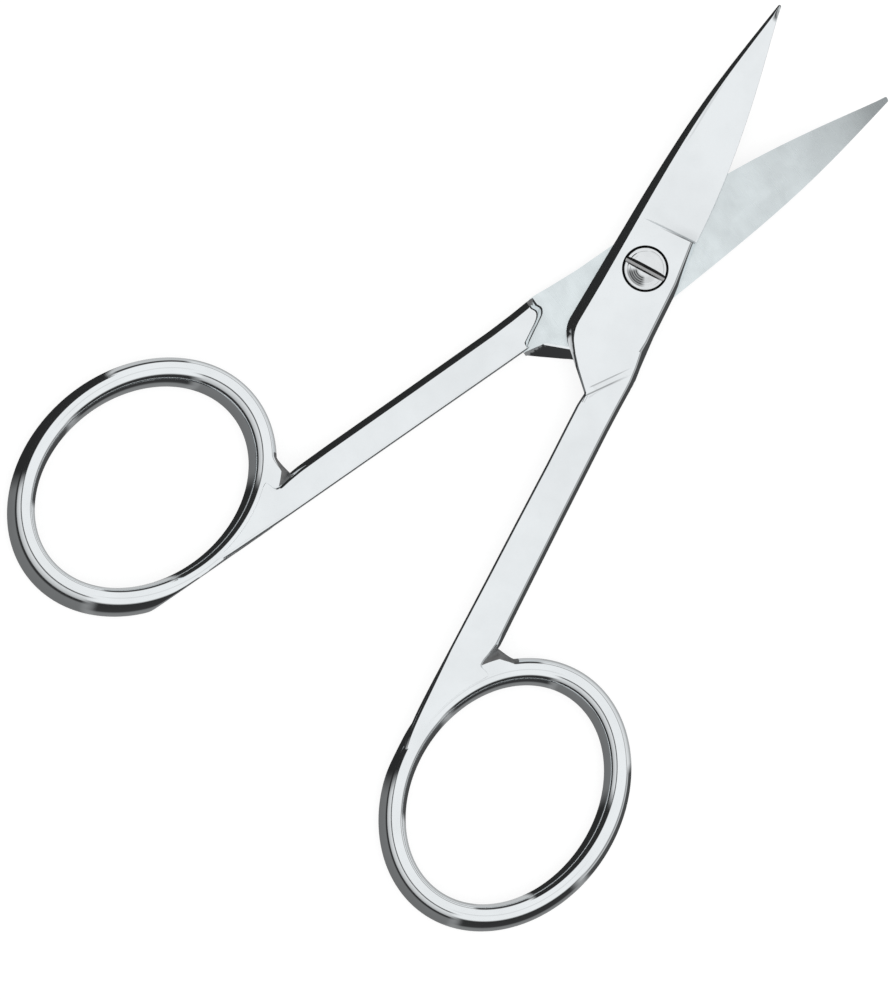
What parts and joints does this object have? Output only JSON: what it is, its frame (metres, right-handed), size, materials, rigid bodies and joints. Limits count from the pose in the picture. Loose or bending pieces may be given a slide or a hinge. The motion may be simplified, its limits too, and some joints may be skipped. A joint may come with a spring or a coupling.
{
  "type": "manicure scissors",
  "caption": "Curved-blade manicure scissors with long straight shanks and oval finger rings, two steel halves that turn on a slotted pivot screw.",
  "frame": {"origin": "on the pivot axis, on the underside of the lower half's pivot plate, where the end of the screw lies flush", "axes": "+Z along the pivot axis, up out of the screw's slotted head; +Y from the pivot towards the tips along the bisector of the two blades in the open rest pose; +X towards the upper half's finger ring"},
  "size_m": [0.0662, 0.0842, 0.0063],
  "materials": {
    "polished_steel": "bright polished steel with rounded edges, as on the outer faces of both halves",
    "ground_steel": "satin ground steel on the inner faces, bright steel elsewhere",
    "screw_steel": "turned steel, lightly polished on the head"
  },
  "bodies": {
    "lower": {"lower_half": "ground_steel", "pivot_screw": "screw_steel"},
    "upper": {"upper_half": "polished_steel"}
  },
  "joints": [
    {"name": "blade_pivot", "type": "hinge", "parent": "lower", "child": "upper", "pos_m": [0, 0, 0.0018], "axis": [0, 0, 1], "range_deg": [-27.3, 110]}
  ]
}
